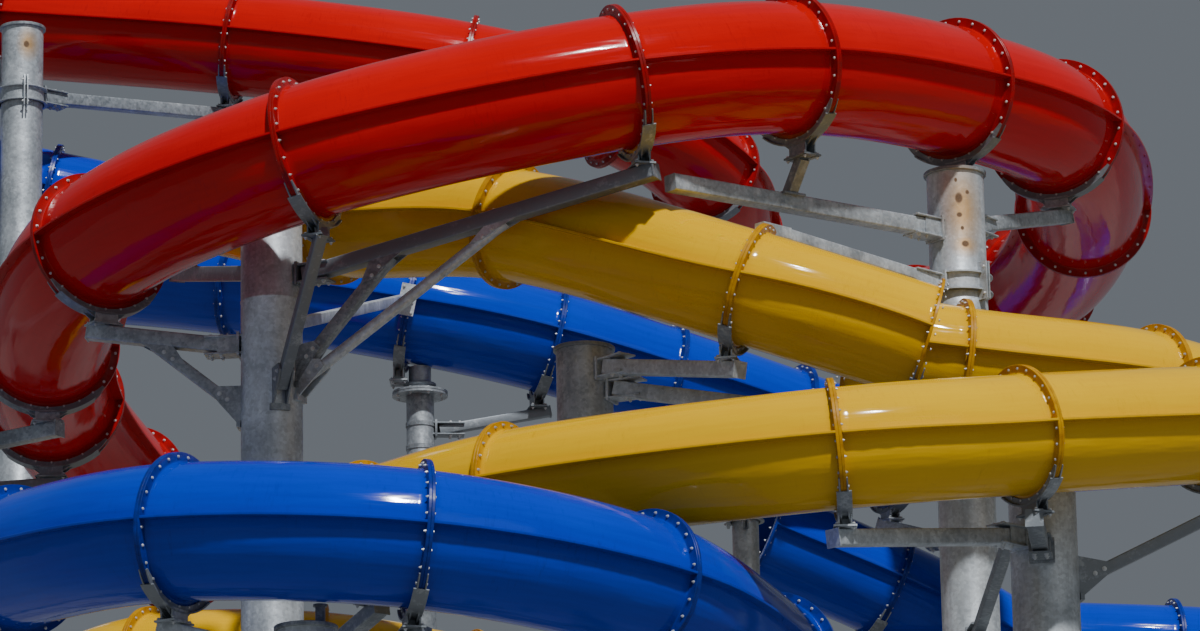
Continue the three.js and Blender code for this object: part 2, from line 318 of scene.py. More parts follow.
class Shape:
    """Points and faces of a piece, with a tone for each point: how dark or worn its member is (on
    steel, partly painted shade).
    """

    def __init__(self):
        self.points, self.faces, self.tones, self.places = [], [], [], []
        self.count = 0

    def add(self, solid, tone=0.5, places=None):
        points, faces = solid
        self.points.append(points)
        self.faces += [[i + self.count for i in face] for face in faces]
        self.tones.append(np.broadcast_to(tone, len(points)))
        self.places.append(points if places is None else places)
        self.count += len(points)

    def add_copies(self, solid, frames, tone=0.5):
        points, faces = solid
        for origin, (side, upper, forward) in frames:
            self.add((origin + points @ np.array([side, upper, forward]), faces), tone)


def circle(radius, sides, start=0.0):
    angles = start + np.arange(sides) * 2 * math.pi / sides
    return np.stack([radius * np.cos(angles), radius * np.sin(angles)], axis=1)


def section_rows(outline, frame, *origins):
    """Rows of a flat outline, set square to the frame's forward direction at each origin."""
    side, upper, _ = frame
    flat = np.outer(outline[:, 0], side) + np.outer(outline[:, 1], upper)
    return [origin + flat for origin in origins]


def prism(sides, radius, low, high, start=0.0, bevel=0.0):
    """An upright prism at the origin, with its top edge cut back by the bevel."""
    levels = [(radius, low), (radius, high - bevel)]
    if bevel:
        levels.append((radius - bevel, high))
    return loft([np.column_stack([circle(r, sides, start), np.full(sides, z)]) for r, z in levels])


def fastener(size, grip):
    """A bolt along Z through the grip: washers, hexagon head and nut, and the thread's end."""
    half = grip / 2
    washer, height = 1.15 * size, 0.65 * size
    solids = [
        prism(12, washer, half, half + 0.003, bevel=0.0008),
        prism(6, 0.88 * size, half + 0.003, half + 0.003 + height, bevel=0.0015),
        prism(12, washer, -half - 0.003, -half),
        prism(6, 0.88 * size, -half - 0.003 - height, -half - 0.003),
        prism(6, 0.5 * size, -half - 0.010 - height, -half - 0.002 - height, bevel=0.001),
    ]
    whole = Shape()
    for solid in solids:
        whole.add(solid)
    return np.vstack(whole.points), whole.faces


def rounded_square(width, height=None, radius=0.014):
    height = height or width
    corners = []
    for turn, (x, y) in enumerate(((1, 1), (-1, 1), (-1, -1), (1, -1))):
        centre = np.array([x * (width / 2 - radius), y * (height / 2 - radius)])
        angles = np.radians(90 * turn + np.array([0, 30, 60, 90]))
        corners.append(centre + radius * np.stack([np.cos(angles), np.sin(angles)], axis=1))
    return np.vstack(corners)


def beam(start, end, width, height=None):
    frame = frame_along(end - start)
    radius = 0.1 * width
    return loft(section_rows(rounded_square(width, height, radius), frame, start, end))


def rod(start, end, radius, sides=40):
    return loft(section_rows(circle(radius, sides), frame_along(end - start), start, end))


def block(centre, frame, width, height, depth):
    """A plate or block square to a frame: width to the side, height upwards, depth forwards."""
    _, _, forward = frame
    outline = rounded_square(width, height, 0.003)
    half = forward * depth / 2
    return loft(section_rows(outline, frame, centre - half, centre + half))


def slab(outline, thickness):
    """A flat plate from its outline's points and a vector through its thickness."""
    outline = np.asarray(outline, float)
    return loft([outline - thickness / 2, outline + thickness / 2])


def sector(centre, frame, angles, inner, outer, back, front):
    """Part of a ring square to the frame's forward direction; the radii may change with angle."""
    side, upper, forward = frame
    whole = abs(angles[-1] - angles[0]) > 2 * math.pi - 1e-6
    used = angles[:-1] if whole else angles
    rows = []
    for i, angle in enumerate(used):
        out = math.cos(angle) * side + math.sin(angle) * upper
        near, far = (r if np.isscalar(r) else r[i] for r in (inner, outer))
        rows.append([
            centre + out * near + forward * back, centre + out * far + forward * back,
            centre + out * far + forward * front, centre + out * near + forward * front,
        ])
    return loft(rows, wrap=whole)


# Slide tubes

def tube_levels(tube):
    """Radius, distance from the joint and tone of each corner of a flange, from bore to shell."""
    bore, outside, flange = tube["bore"], tube["outside"], tube["flange"]
    return [
        (bore, JOINT / 2, 0.3), (flange - 0.003, JOINT / 2, 1.0), (flange, JOINT / 2 + 0.003, 1.0),
        (flange, PLATE - 0.003, 1.0), (flange - 0.003, PLATE, 1.0), (outside + 0.02, PLATE, 0.9),
        (outside + 0.006, PLATE + 0.004, 0.5), (outside, PLATE + 0.016, 0.2),
    ]


def tube_length(shape, run, start):
    """One length of tube with its flanges and ledges, from a station to the next."""
    tube, line = tube_of(run), LINES[run]
    length = line.length(start)
    flat = circle(1.0, SIDES, math.pi / SIDES)
    rows, tones, places = [], [], []

    def add_row(along, offset, radius, tone):
        side, upper, forward = line.frame(along)
        centre = line.point(along) + forward * offset
        rows.append(centre + radius * (np.outer(flat[:, 0], side) + np.outer(flat[:, 1], upper)))
        tones.append(np.full(SIDES, tone))
        metres = (along - start) * length + offset + PATTERN_STEP * start
        places.append(np.column_stack([np.full(SIDES, metres), flat]))

    for radius, offset, tone in tube_levels(tube):
        add_row(start, offset, radius, tone)
    margin = (PLATE + 0.05) / length
    count = max(6, math.ceil(length / ROW_SPACING))
    for part in np.linspace(margin, 1 - margin, count):
        add_row(start + part, 0.0, tube["outside"], 0.0)
    for radius, offset, tone in reversed(tube_levels(tube)):
        add_row(start + 1, -offset, radius, tone)
    for part in np.linspace(1, 0, max(3, math.ceil(length / BORE_SPACING)))[1:-1]:
        add_row(start + part, 0.0, tube["bore"], 0.3)
    shape.add(loft(rows, wrap=True), np.concatenate(tones), np.vstack(places))
    for hand in (-1, 1):
        add_ledge(shape, line, start, length, tube["outside"], hand)
    shape.add_copies(fastener(LEDGE_BOLT, 2 * LEDGE_HALF), ledge_bolt_frames(run, start), 0.4)


def add_ledge(shape, line, start, length, outside, hand):
    """The level lip where the upper and lower half shells are bolted together."""
    low, high = outside - 0.006, outside + LEDGE_REACH
    half = LEDGE_HALF
    profile = np.array([
        (low - 0.004, -half), (low + 0.018, -half - 0.001), (high - 0.003, -half), (high, 0.003 - half),
        (high, half - 0.003), (high - 0.003, half), (low + 0.03, half), (low + 0.006, half + 0.012),
    ])
    profile[:, 0] *= hand
    rows, places = [], []
    margin = (PLATE - 0.004) / length
    for part in np.linspace(margin, 1 - margin, max(6, math.ceil(length / ROW_SPACING))):
        frame = line.frame(start + part)
        rows += section_rows(profile, frame, line.point(start + part))
        metres = np.full(len(profile), part * length + PATTERN_STEP * start)
        places.append(np.column_stack([metres, np.full(len(profile), hand), profile[:, 1]]))
    shape.add(loft(rows), 0.35, np.vstack(places))


def ring_bolt_frames(run, station):
    tube, line = tube_of(run), LINES[run]
    side, upper, forward = line.frame(station)
    centre = line.point(station)
    radius = tube["outside"] + 0.56 * (tube["flange"] - tube["outside"])
    frames = []
    for angle in (np.arange(RING_BOLTS) + 0.5) * 2 * math.pi / RING_BOLTS:
        out = math.cos(angle) * side + math.sin(angle) * upper
        across = np.cross(forward, out)
        frames.append((centre + out * radius, (out, across, forward)))
    return frames


def ledge_bolt_frames(run, start):
    tube, line = tube_of(run), LINES[run]
    length = line.length(start)
    reach = tube["outside"] + 0.62 * LEDGE_REACH
    count = max(2, round((length - 0.2) / LEDGE_BOLT_SPACING))
    frames = []
    for part in np.linspace(0.13 / length, 1 - 0.13 / length, count):
        side, upper, forward = line.frame(start + part)
        for hand in (-1, 1):
            place = line.point(start + part) + side * hand * reach
            frames.append((place, (side, -forward, upper)))
    return frames


# Steelwork

def member_tone_and_shade(*words, low=0.35, high=0.9):
    """A member's stated tone, or a steady one from its name; its darkness is partly painted shade."""
    name = " ".join(map(str, words))
    total = sum((i + 1) * ord(letter) for i, letter in enumerate(name))
    return MEMBER_TONES_AND_SHADE.get(name, low + (high - low) * (total * 0.6180339 % 1.0))


def flange_frame(run, station):
    line = LINES[run]
    return line.point(station), line.frame(station)


def foot_of(run, station):
    """Where the CAD saddle's foot ends, below a flange."""
    centre, (_, upper, _) = flange_frame(run, station)
    seat = centre - upper * (tube_of(run)["flange"] + 0.012)
    return seat - UP * SADDLE_FOOT


def add_saddle(steel, bolts, run, station, deck, tone):
    """Strap, cheek plates and stand under a flange, down to the deck point."""
    centre, frame = flange_frame(run, station)
    _, upper, forward = frame
    flange = tube_of(run)["flange"]
    bottom = -math.pi / 2
    wide = np.linspace(bottom - 0.7, bottom + 0.7, 25)
    steel.add(sector(
        centre, frame, wide, flange + 0.002, flange + 0.002 + SADDLE_STRAP,
        -SADDLE_WIDTH / 2, SADDLE_WIDTH / 2,
    ), 0.9)
    spread = np.linspace(bottom - 0.9, bottom + 0.9, 37)
    reach = np.abs(spread - bottom)
    outer = flange + 0.012 - 0.014 * np.clip((reach - 0.7) / 0.2, 0, 1)
    outer += 0.06 * np.clip(1 - reach / 0.26, 0, 1) ** 0.6
    inner = flange - 0.042 + 0.02 * np.clip((reach - 0.7) / 0.2, 0, 1)
    for back in (-PLATE - CHEEK, PLATE):
        steel.add(sector(centre, frame, spread, inner, outer, back, back + CHEEK), 0.9)
    nut = prism(6, 0.88 * RING_BOLT, 0, 0.009)
    frames = []
    for place, (out, across, along) in ring_bolt_frames(run, station):
        if (place - centre) @ upper < -0.56 * flange:
            frames.append((place + along * (PLATE + CHEEK), (out, across, along)))
            frames.append((place - along * (PLATE + CHEEK), (out, -across, -along)))
    bolts.add_copies(nut, frames, 0.4)
    seat = centre - upper * (flange + 0.002 + SADDLE_STRAP)
    level = unit(np.cross(UP, forward))
    ahead = np.cross(level, UP)
    drop = max(float((seat - deck) @ UP), 0.02)
    for shift in (-0.045, 0.045):
        stand = seat + ahead * shift - UP * (drop / 2 - 0.01)
        steel.add(block(stand, (level, UP, ahead), 0.2, drop + 0.03, 0.012), tone)
    steel.add(block(seat - UP * drop / 2, (ahead, UP, level), 0.1, drop + 0.02, 0.012), tone)
    base = np.array([seat[0], seat[1], deck[2] + 0.007])
    steel.add(block(base, (level, ahead, UP), 0.26, 0.17, 0.014), tone)
    clamp = fastener(0.013, 0.03)
    bolts.add_copies(clamp, [
        (base + level * x + ahead * y, (level, ahead, UP))
        for x in (-0.105, 0.105) for y in (-0.06, 0.06)
    ], 0.4)


def add_fork(steel, bolts, axis, radius, direction, size, tone):
    """Two level plates on the column that take a beam's end between them, with a back plate."""
    level = unit(np.array([direction[0], direction[1], 0.0]))
    across = np.cross(UP, level)
    rise = direction[2] / math.hypot(direction[0], direction[1])
    root = axis + level * radius + UP * rise * (radius + 0.1)
    half = size / 2 + BRACKET / 2 + 0.002
    for hand in (-1, 1):
        plate = root + level * 0.13 + UP * (hand * half)
        steel.add(block(plate, (across, UP, level), size + 0.05, BRACKET, 0.3), tone)
    facing = (across, UP, level)
    steel.add(block(root + level * 0.012, facing, size + 0.07, 2 * half + 0.05, 0.02), tone)
    cheek = root + level * 0.1 + across * (size / 2 + 0.006)
    steel.add(block(cheek, facing, 0.008, 2 * half, 0.16), tone)
    pin = fastener(0.017, size + 2 * BRACKET + 0.004)
    bolts.add_copies(pin, [
        (root + level * reach + across * shift, (level, across, UP))
        for reach in (0.15, 0.235) for shift in (-0.045, 0.045)
    ], 0.35)
    return radius + 0.05


def add_ears(steel, bolts, axis, radius, direction, size, tone):
    """Two upright plates on the column, one each side of a steep strut's end."""
    forward = unit(direction)
    level = unit(np.array([direction[0], direction[1], 0.0]))
    across = np.cross(UP, level)
    climb = forward / math.hypot(forward[0], forward[1])
    surface = axis + climb * radius
    tip = surface + forward * 0.26
    crown = np.cross(across, forward)
    crown = crown if crown[2] > 0 else -crown
    for hand in (-1, 1):
        shift = across * hand * (size / 2 + BRACKET / 2 + 0.001)
        outline = [
            surface - level * 0.02 + UP * 0.19, surface - level * 0.02 - UP * 0.15,
            tip - crown * size * 0.42, tip + crown * size * 0.42,
        ]
        steel.add(slab(np.array(outline) + shift, across * BRACKET), tone)
    foot = surface - UP * 0.12 + level * 0.01
    steel.add(block(foot, (across, UP, level), size + 0.07, 0.05, 0.03), tone)
    pin = fastener(0.016, size + 2 * BRACKET + 0.004)
    turn = (forward, np.cross(across, forward), across)
    bolts.add_copies(pin, [(surface + forward * reach, turn) for reach in (0.13, 0.21)], 0.35)
    return radius + 0.05


def add_member(steel, bolts, axis, radius, end, size, tone, round_pipe=False, overhang=0.0):
    """A beam or strut from a bracket on the column to a point."""
    direction = end - axis
    run_out = math.hypot(direction[0], direction[1])
    steep = abs(direction[2]) > 0.45 * run_out
    attach = add_ears if steep else add_fork
    reach = attach(steel, bolts, axis, radius, direction, size, tone)
    start = axis + direction * (reach / run_out)
    tip = end + unit(direction) * overhang
    steel.add(rod(start, tip, size / 2) if round_pipe else beam(start, tip, size), tone)
    if overhang:
        frame = frame_along(direction)
        width = size + 0.014
        steel.add(block(tip + frame[2] * END_PLATE / 2, frame, width, width, END_PLATE), tone)
    return start


def add_gusset(steel, bolts, place, along, down, size, tone):
    """Plates that hang from a beam and hold a prop's end between them."""
    along = unit(along)
    across = unit(np.cross(along, UP))
    low = unit(down)
    for hand in (-1, 1):
        shift = across * hand * (size / 2 + 0.007)
        outline = [
            place - along * 0.16, place + along * 0.13,
            place + along * 0.06 + low * 0.13, place + low * 0.27 + along * 0.03,
            place + low * 0.27 - along * 0.06,
        ]
        steel.add(slab(np.array(outline) + shift, across * 0.012), tone)
    pin = fastener(0.015, size + 0.03)
    bolts.add_copies(pin, [
        (place + low * reach, (along, np.cross(across, along), across)) for reach in (0.12, 0.21)
    ], 0.35)


def add_collar(steel, bolts, at, radius, height, toward, tone):
    """Two half bands clamped round a column with bolted lugs."""
    axis = np.array([at[0], at[1], height])
    turn = np.linspace(0, 2 * math.pi, 49)
    half = COLLAR_HEIGHT / 2
    steel.add(sector(axis, SQUARE, turn, radius + BAND_GAP, radius + 0.014, -half, half), tone)
    for low in (-half, half - 0.012):
        steel.add(sector(axis, SQUARE, turn, radius + 0.001, radius + 0.045, low, low + 0.012), tone)
    level = unit(np.array([toward[0], toward[1], 0.0]))
    across = np.cross(UP, level)
    pin = fastener(0.012, 0.042)
    for hand in (-1, 1):
        for shift in (-0.015, 0.015):
            lug = axis + across * hand * (radius + 0.045) + level * shift
            steel.add(block(lug, (across, UP, level), 0.09, COLLAR_HEIGHT + 0.16, 0.012), tone)
        middle = axis + across * hand * (radius + 0.065)
        bolts.add_copies(pin, [(middle + UP * z, (across, UP, level)) for z in (-0.11, 0.11)], 0.35)
    return axis + level * (radius + 0.014)


def add_tie(steel, bolts, spec, other, height, tone):
    """A level beam from a column to a collar round another."""
    start = np.array([*spec["at"], height])
    far = np.array([*other["at"], height])
    touch = add_collar(steel, bolts, other["at"], other["radius"], height, start - far, tone)
    forward = unit(far - start)
    frame = frame_along(forward)
    steel.add(block(touch - forward * 0.012, frame, 0.24, 0.2, 0.024), tone)
    reach = add_fork(steel, bolts, start, spec["radius"], forward, BEAM, tone)
    steel.add(beam(start + forward * reach, touch - forward * 0.024, BEAM), tone)
    bolts.add_copies(fastener(0.014, 0.03), [
        (touch - forward * 0.012 + frame[0] * x + UP * z, (frame[0], frame[1], forward))
        for x in (-0.1, 0.1) for z in (-0.07, 0.07)
    ], 0.35)


def turned(axis, levels):
    """A round upright solid from radii and heights."""
    return loft([
        axis + np.column_stack([circle(radius, PIPE_SIDES), np.full(PIPE_SIDES, height)])
        for radius, height in levels
    ])


def add_column(steel, bolts, spec, welds, tone):
    """The pipe with its weld seams, its cap, and its bolted base plate with gussets."""
    x, y = spec["at"]
    radius, top = spec["radius"], spec["top"]
    levels = [(radius, 0.02)]
    for height in sorted(welds):
        levels += [
            (radius, height - 0.014), (radius + WELD_SWELL, height - 0.007),
            (radius + WELD_SWELL, height + 0.007), (radius, height + 0.014),
        ]
    levels.append((radius, top - 0.01))
    axis = np.array([x, y, 0.0])
    steel.add(turned(axis, levels), tone)
    cap = [(radius - 0.01, top - 0.032), (radius + 0.018, top - 0.030), (radius + 0.022, top - 0.026),
           (radius + 0.022, top - 0.004), (radius + 0.018, top), (radius * 0.5, top)]
    steel.add(turned(axis, cap), 0.75)
    width = 2 * (radius + BASE_REACH)
    outline = rounded_square(width, width, 0.02)
    steel.add(loft(section_rows(outline, SQUARE, axis, axis + UP * BASE_PLATE)), 0.6)
    anchors = []
    for i in range(ANCHORS):
        angle = 2 * math.pi / ANCHORS * i
        out = np.array([math.cos(angle), math.sin(angle), 0.0])
        across = np.cross(UP, out)
        outline = [
            axis + out * (radius - 0.005) + UP * 0.03, axis + out * (radius + 0.15) + UP * 0.03,
            axis + out * (radius + 0.15) + UP * 0.07, axis + out * (radius + 0.03) + UP * 0.34,
            axis + out * (radius - 0.005) + UP * 0.34,
        ]
        steel.add(slab(outline, across * 0.014), 0.55)
        between = math.pi / ANCHORS + angle
        spot = np.array([math.cos(between), math.sin(between), 0.0]) * (radius + 0.1)
        anchors.append((axis + spot + UP * BASE_PLATE, SQUARE))
    anchor = Shape()
    anchor.add(prism(16, 0.034, 0, 0.005))
    anchor.add(prism(6, 0.027, 0.005, 0.03, bevel=0.002))
    anchor.add(prism(6, 0.027, 0.031, 0.048, bevel=0.002))
    anchor.add(prism(12, 0.015, 0.04, 0.085, bevel=0.002))
    bolts.add_copies((np.vstack(anchor.points), anchor.faces), anchors, 0.5)


# Materials

class Nodes:
    """A material's node tree, built one node at a time."""

    def __init__(self, name):
        self.material = bpy.data.materials.new(name)
        self.material.use_nodes = True
        self.tree = self.material.node_tree
        self.tree.nodes.clear()

    def add(self, kind, inputs=None, **settings):
        node = self.tree.nodes.new(kind)
        for key, value in settings.items():
            setattr(node, key, value)
        for key, value in (inputs or {}).items():
            if isinstance(value, bpy.types.NodeSocket):
                self.tree.links.new(value, node.inputs[key])
            else:
                node.inputs[key].default_value = value
        return node

    def math(self, operation, first, second=0.0, third=0.0, clamp=False):
        inputs = {0: first, 1: second}
        if operation == "MULTIPLY_ADD":
            inputs[2] = third
        return self.add("ShaderNodeMath", inputs, operation=operation, use_clamp=clamp).outputs[0]

    def vector(self, operation, first, second=(0, 0, 0)):
        return self.add("ShaderNodeVectorMath", {0: first, 1: second}, operation=operation)

    def mix(self, factor, first, second, blend="MIX"):
        inputs = {0: factor, 6: first, 7: second}
        return self.add("ShaderNodeMix", inputs, data_type="RGBA", blend_type=blend).outputs[2]

    def remap(self, value, low, high, to_low=0.0, to_high=1.0):
        node = self.add("ShaderNodeMapRange", {
            "Value": value, "From Min": low, "From Max": high, "To Min": to_low, "To Max": to_high,
        })
        return node.outputs["Result"]

    def noise(self, vector, scale, detail=3.0, roughness=0.55, stretch=None):
        if stretch:
            vector = self.vector("MULTIPLY", vector, stretch).outputs[0]
        return self.add("ShaderNodeTexNoise", {
            "Vector": vector, "Scale": scale, "Detail": detail, "Roughness": roughness,
        }).outputs["Fac"]

    def attribute(self, name, output="Fac"):
        return self.add("ShaderNodeAttribute", attribute_name=name).outputs[output]

    def bump(self, height, strength, distance, normal=None):
        inputs = {"Height": height, "Strength": strength, "Distance": distance}
        if normal is not None:
            inputs["Normal"] = normal
        return self.add("ShaderNodeBump", inputs).outputs["Normal"]

    def finish(self, shader):
        output = self.add("ShaderNodeOutputMaterial")
        self.tree.links.new(shader.outputs[0], output.inputs["Surface"])
        return self.material


def gelcoat(name, colour, faded, deep, grime):
    """Glossy coloured fibreglass: faded in clouds, streaked by rain, dirtier on its flanges."""
    n = Nodes(name)
    place = n.add("ShaderNodeTexCoord").outputs["Object"]
    flow = n.attribute("place", "Vector")
    tone = n.attribute("tone")
    clouds = n.remap(n.noise(place, 0.8, 4.0, 0.6), 0.38, 0.72)
    brushed = n.remap(n.noise(flow, 5.0, 4.0, 0.65, (0.35, 2.2, 2.2)), 0.4, 0.75)
    base = n.mix(n.math("MULTIPLY", clouds, 0.55), colour, faded)
    base = n.mix(n.math("MULTIPLY", brushed, 0.3), base, deep)
    runs = n.remap(n.noise(flow, 6.0, 5.0, 0.7, (7.0, 0.6, 0.6)), 0.55, 0.8)
    runs = n.math("MULTIPLY", runs, n.remap(n.noise(place, 1.7, 2.0), 0.4, 0.65))
    base = n.mix(n.math("MULTIPLY", runs, 0.35), base, grime)
    specks = n.remap(n.noise(place, 46.0, 2.0), 0.68, 0.78)
    dirty = n.math("MULTIPLY", tone, n.remap(n.noise(place, 9.0, 5.0, 0.7), 0.3, 0.7, 0.4, 1.0))
    dirty = n.math("MAXIMUM", n.math("MULTIPLY", dirty, 0.85), n.math("MULTIPLY", specks, 0.15))
    base = n.mix(dirty, base, grime)
    rough = n.math("MULTIPLY_ADD", brushed, 0.08, 0.09)
    rough = n.math("ADD", rough, n.math("MULTIPLY", dirty, 0.3))
    waves = n.noise(flow, 2.4, 2.0, 0.5, (0.8, 2.0, 2.0))
    normal = n.bump(waves, 0.5, 0.012)
    normal = n.bump(n.noise(place, 120.0, 2.0), 0.08, 0.0015, normal)
    shader = n.add("ShaderNodeBsdfPrincipled", {
        "Base Color": base, "Roughness": rough, "Normal": normal, "IOR": 1.5,
        "Specular IOR Level": 0.25,
    })
    return n.finish(shader)


def stain_mask(n, place, zones):
    """Soft patches round stated points, each with its own reach along X, Y and Z."""
    whole = None
    for centre, reach in zones:
        shifted = n.vector("SUBTRACT", place, tuple(SHIFT + centre)).outputs[0]
        scaled = n.vector("MULTIPLY", shifted, tuple(1 / r for r in reach)).outputs[0]
        length = n.vector("LENGTH", scaled).outputs["Value"]
        patch = n.remap(length, 0.2, 1.0, 1.0, 0.0)
        whole = patch if whole is None else n.math("MAXIMUM", whole, patch)
    return whole


def galvanised(name, stains, bright, dark):
    """Hot-dip zinc: spangled, clouded with white bloom, streaked, and stained with rust."""
    n = Nodes(name)
    place = n.add("ShaderNodeTexCoord").outputs["Object"]
    tone = n.attribute("tone")
    wavy = n.add("ShaderNodeVectorMath", {
        0: place, 1: n.add("ShaderNodeTexNoise", {"Vector": place, "Scale": 9.0}).outputs["Color"],
        2: (0.03, 0.03, 0.03),
    }, operation="MULTIPLY_ADD")
    spangle = n.add("ShaderNodeTexVoronoi", {"Vector": place, "Scale": 42.0}).outputs["Color"]
    spangle = n.add("ShaderNodeSeparateColor", {0: spangle}).outputs[0]
    clouds = n.remap(n.noise(place, 2.6, 6.0, 0.68), 0.32, 0.7)
    streaks = n.remap(n.noise(place, 5.0, 5.0, 0.65, (1.6, 1.6, 0.22)), 0.42, 0.7)
    mottle = n.noise(place, 22.0, 5.0, 0.7)
    light = n.math("MULTIPLY_ADD", spangle, 0.22, n.math("MULTIPLY", clouds, 0.45))
    light = n.math("ADD", light, n.math("MULTIPLY", mottle, 0.4))
    # The tone darkens the zinc: real differences between members, and partly painted shade on the arms
    light = n.math("SUBTRACT", light, n.math("MULTIPLY_ADD", tone, 0.75, -0.12), clamp=True)
    base = n.mix(light, dark, bright)
    base = n.mix(n.math("MULTIPLY", streaks, 0.4), base, (0.22, 0.25, 0.28, 1))
    bloom = n.remap(n.noise(place, 4.3, 6.0, 0.75), 0.58, 0.76)
    base = n.mix(n.math("MULTIPLY", bloom, 0.5), base, (0.72, 0.78, 0.82, 1))
    edge = n.remap(n.noise(wavy.outputs[0], 14.0, 6.0, 0.75), 0.62, 0.74)
    rust = n.math("MULTIPLY", edge, 0.12)
    if stains:
        tints, spots = stains
        uneven = n.math("MULTIPLY_ADD", n.noise(wavy.outputs[0], 16.0, 6.0, 0.75), 2.2, -0.15)
        tinted = n.math("MULTIPLY", stain_mask(n, place, tints), uneven, clamp=True)
        base = n.mix(tinted, base, (0.5, 0.3, 0.12, 1))
        spotted = n.math("MULTIPLY", stain_mask(n, place, spots), 2.4)
        rust = n.math("MAXIMUM", rust, n.math("MULTIPLY", spotted, uneven, clamp=True))
    rust_colour = n.mix(n.noise(place, 60.0, 4.0), (0.05, 0.026, 0.012, 1), (0.22, 0.12, 0.05, 1))
    base = n.mix(rust, base, rust_colour)
    dull = n.math("MULTIPLY", n.math("MAXIMUM", rust, bloom), 0.6)
    metal = n.math("SUBTRACT", 0.5, dull, clamp=True)
    rough = n.math("MULTIPLY_ADD", mottle, 0.35, 0.3)
    rough = n.math("ADD", rough, n.math("MULTIPLY", rust, 0.3))
    normal = n.bump(n.math("ADD", mottle, n.math("MULTIPLY", spangle, 0.25)), 0.35, 0.003)
    shader = n.add("ShaderNodeBsdfPrincipled", {
        "Base Color": base, "Metallic": metal, "Roughness": rough, "Normal": normal,
    })
    return n.finish(shader)


def concrete():
    """The plain grey floor."""
    n = Nodes("floor")
    place = n.add("ShaderNodeTexCoord").outputs["Object"]
    base = n.mix(n.noise(place, 0.6, 5.0), (0.2, 0.2, 0.2, 1), (0.26, 0.26, 0.26, 1))
    normal = n.bump(n.noise(place, 30.0, 4.0), 0.1, 0.01)
    shader = n.add("ShaderNodeBsdfPrincipled", {
        "Base Color": base, "Roughness": 0.85, "Normal": normal,
    })
    return n.finish(shader)


# Pieces

def make_piece(name, shape, material, node=None):
    mesh = bpy.data.meshes.new(name)
    points = np.vstack(shape.points) + SHIFT
    mesh.from_pydata(points.tolist(), [], shape.faces)
    mesh.polygons.foreach_set("use_smooth", [True] * len(mesh.polygons))
    mesh.set_sharp_from_angle(angle=math.radians(35))
    tone = mesh.attributes.new("tone", "FLOAT", "POINT")
    tone.data.foreach_set("value", np.concatenate(shape.tones).astype(np.float32))
    place = mesh.attributes.new("place", "FLOAT_VECTOR", "POINT")
    place.data.foreach_set("vector", np.vstack(shape.places).astype(np.float32).ravel())
    mesh.materials.append(material)
    mesh.update()
    piece = bpy.data.objects.new(name, mesh)
    bpy.context.scene.collection.objects.link(piece)
    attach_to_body(piece, "root")
    if node:
        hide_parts(node)
    return piece


def make_run(run, paint, zinc):
    """The tubes of a run, one piece for each solid, and its bolts as one piece."""
    lengths_in_piece, stations = RUNS[run]
    lengths = len(stations) - 1
    colour = run.split("_")[0]
    for piece, first in enumerate(range(0, lengths, lengths_in_piece), 1):
        shape = Shape()
        for start in range(first, min(first + lengths_in_piece, lengths)):
            tube_length(shape, run, start)
        node = f"{run}_tube_{piece}"
        make_piece(f"{node}_shell", shape, paint[colour], node)
    bolts = Shape()
    ring_bolt = fastener(RING_BOLT, 2 * PLATE)
    for station in range(lengths + 1):
        bolts.add_copies(ring_bolt, ring_bolt_frames(run, station), BOLT_TONES[colour])
    make_piece(f"{run}_bolts", bolts, zinc)


def long_beam(steel, bolts, axis, radius, tone):
    """The beam from the right column out to the loop, with a leg up to the flange between."""
    end = foot_of("red_loop", 6) + np.array([0.22, 0.12, -0.06])
    start = add_member(steel, bolts, axis, radius, end, 0.13, tone)
    centre, frame = flange_frame("red_loop", 5)
    seat = centre - frame[1] * (tube_of("red_loop")["flange"] + 0.02)
    direction = unit(end - start)
    nearest = start + direction * ((seat - start) @ direction) + np.array([0, 0, 0.06])
    deck = seat - UP * 0.11
    steel.add(beam(nearest - UP * 0.03, deck, 0.09), 0.8)
    add_saddle(steel, bolts, "red_loop", 5, deck, 0.8)
    steel.add(block(nearest, (np.cross(UP, direction), UP, direction), 0.19, 0.02, 0.22), 0.8)


def back_beam(steel, bolts, spec):
    """The long light beam from the loop column back to the front of a blue ring."""
    tone = 0.2
    axis = np.array([*spec["at"], BACK_BEAM])
    ring, (_, _, forward) = flange_frame("blue_back", 2)
    flange = tube_of("blue_back")["flange"]
    out = unit(np.array([0.25, -1.0, -0.12]))
    out = unit(out - forward * (out @ forward))
    end = ring + out * (flange + 0.06)
    add_member(steel, bolts, axis, spec["radius"], end, STRUT, tone, overhang=0.02)
    middle = ring + out * (flange + 0.012)
    along = np.cross(out, forward)
    steel.add(block(middle, (forward, along, out), 0.16, 0.3, 0.02), tone)
    bolts.add_copies(fastener(0.013, 0.03), [
        (middle + forward * x + along * z, (forward, along, out))
        for x in (-0.055, 0.055) for z in (-0.12, 0.12)
    ], 0.4)


def collar_beam(steel, bolts, spec):
    """The level beam from a collar on the right column to the ring of the yellow tube."""
    tone = 0.2
    ring, (_, upper, _) = flange_frame("yellow_upper", 3)
    toward = np.array([-1.0, -0.95, 0.0])
    touch = add_collar(steel, bolts, spec["at"], spec["radius"], COLLAR_BEAM, toward, tone)
    level = unit(toward)
    across = np.cross(UP, level)
    end = np.array([1.36, -1.98, 13.04])
    steel.add(block(touch + level * 0.012, (across, UP, level), 0.2, 0.16, 0.024), tone)
    steel.add(beam(touch + level * 0.024, end, STRUT), tone)
    for hand in (-1, 1):
        plate = touch + level * 0.16 + UP * hand * (STRUT / 2 + 0.008)
        steel.add(block(plate, (across, UP, level), STRUT + 0.06, 0.012, 0.3), tone)
    bolts.add_copies(fastener(0.014, STRUT + 0.03), [
        (touch + level * reach, (level, across, UP)) for reach in (0.1, 0.22)
    ], 0.35)
    hold = ring + upper * tube_of("yellow_upper")["flange"]
    steel.add(block((hold + end) / 2 - UP * 0.02, (across, UP, level), 0.1, 0.09, 0.3), tone)


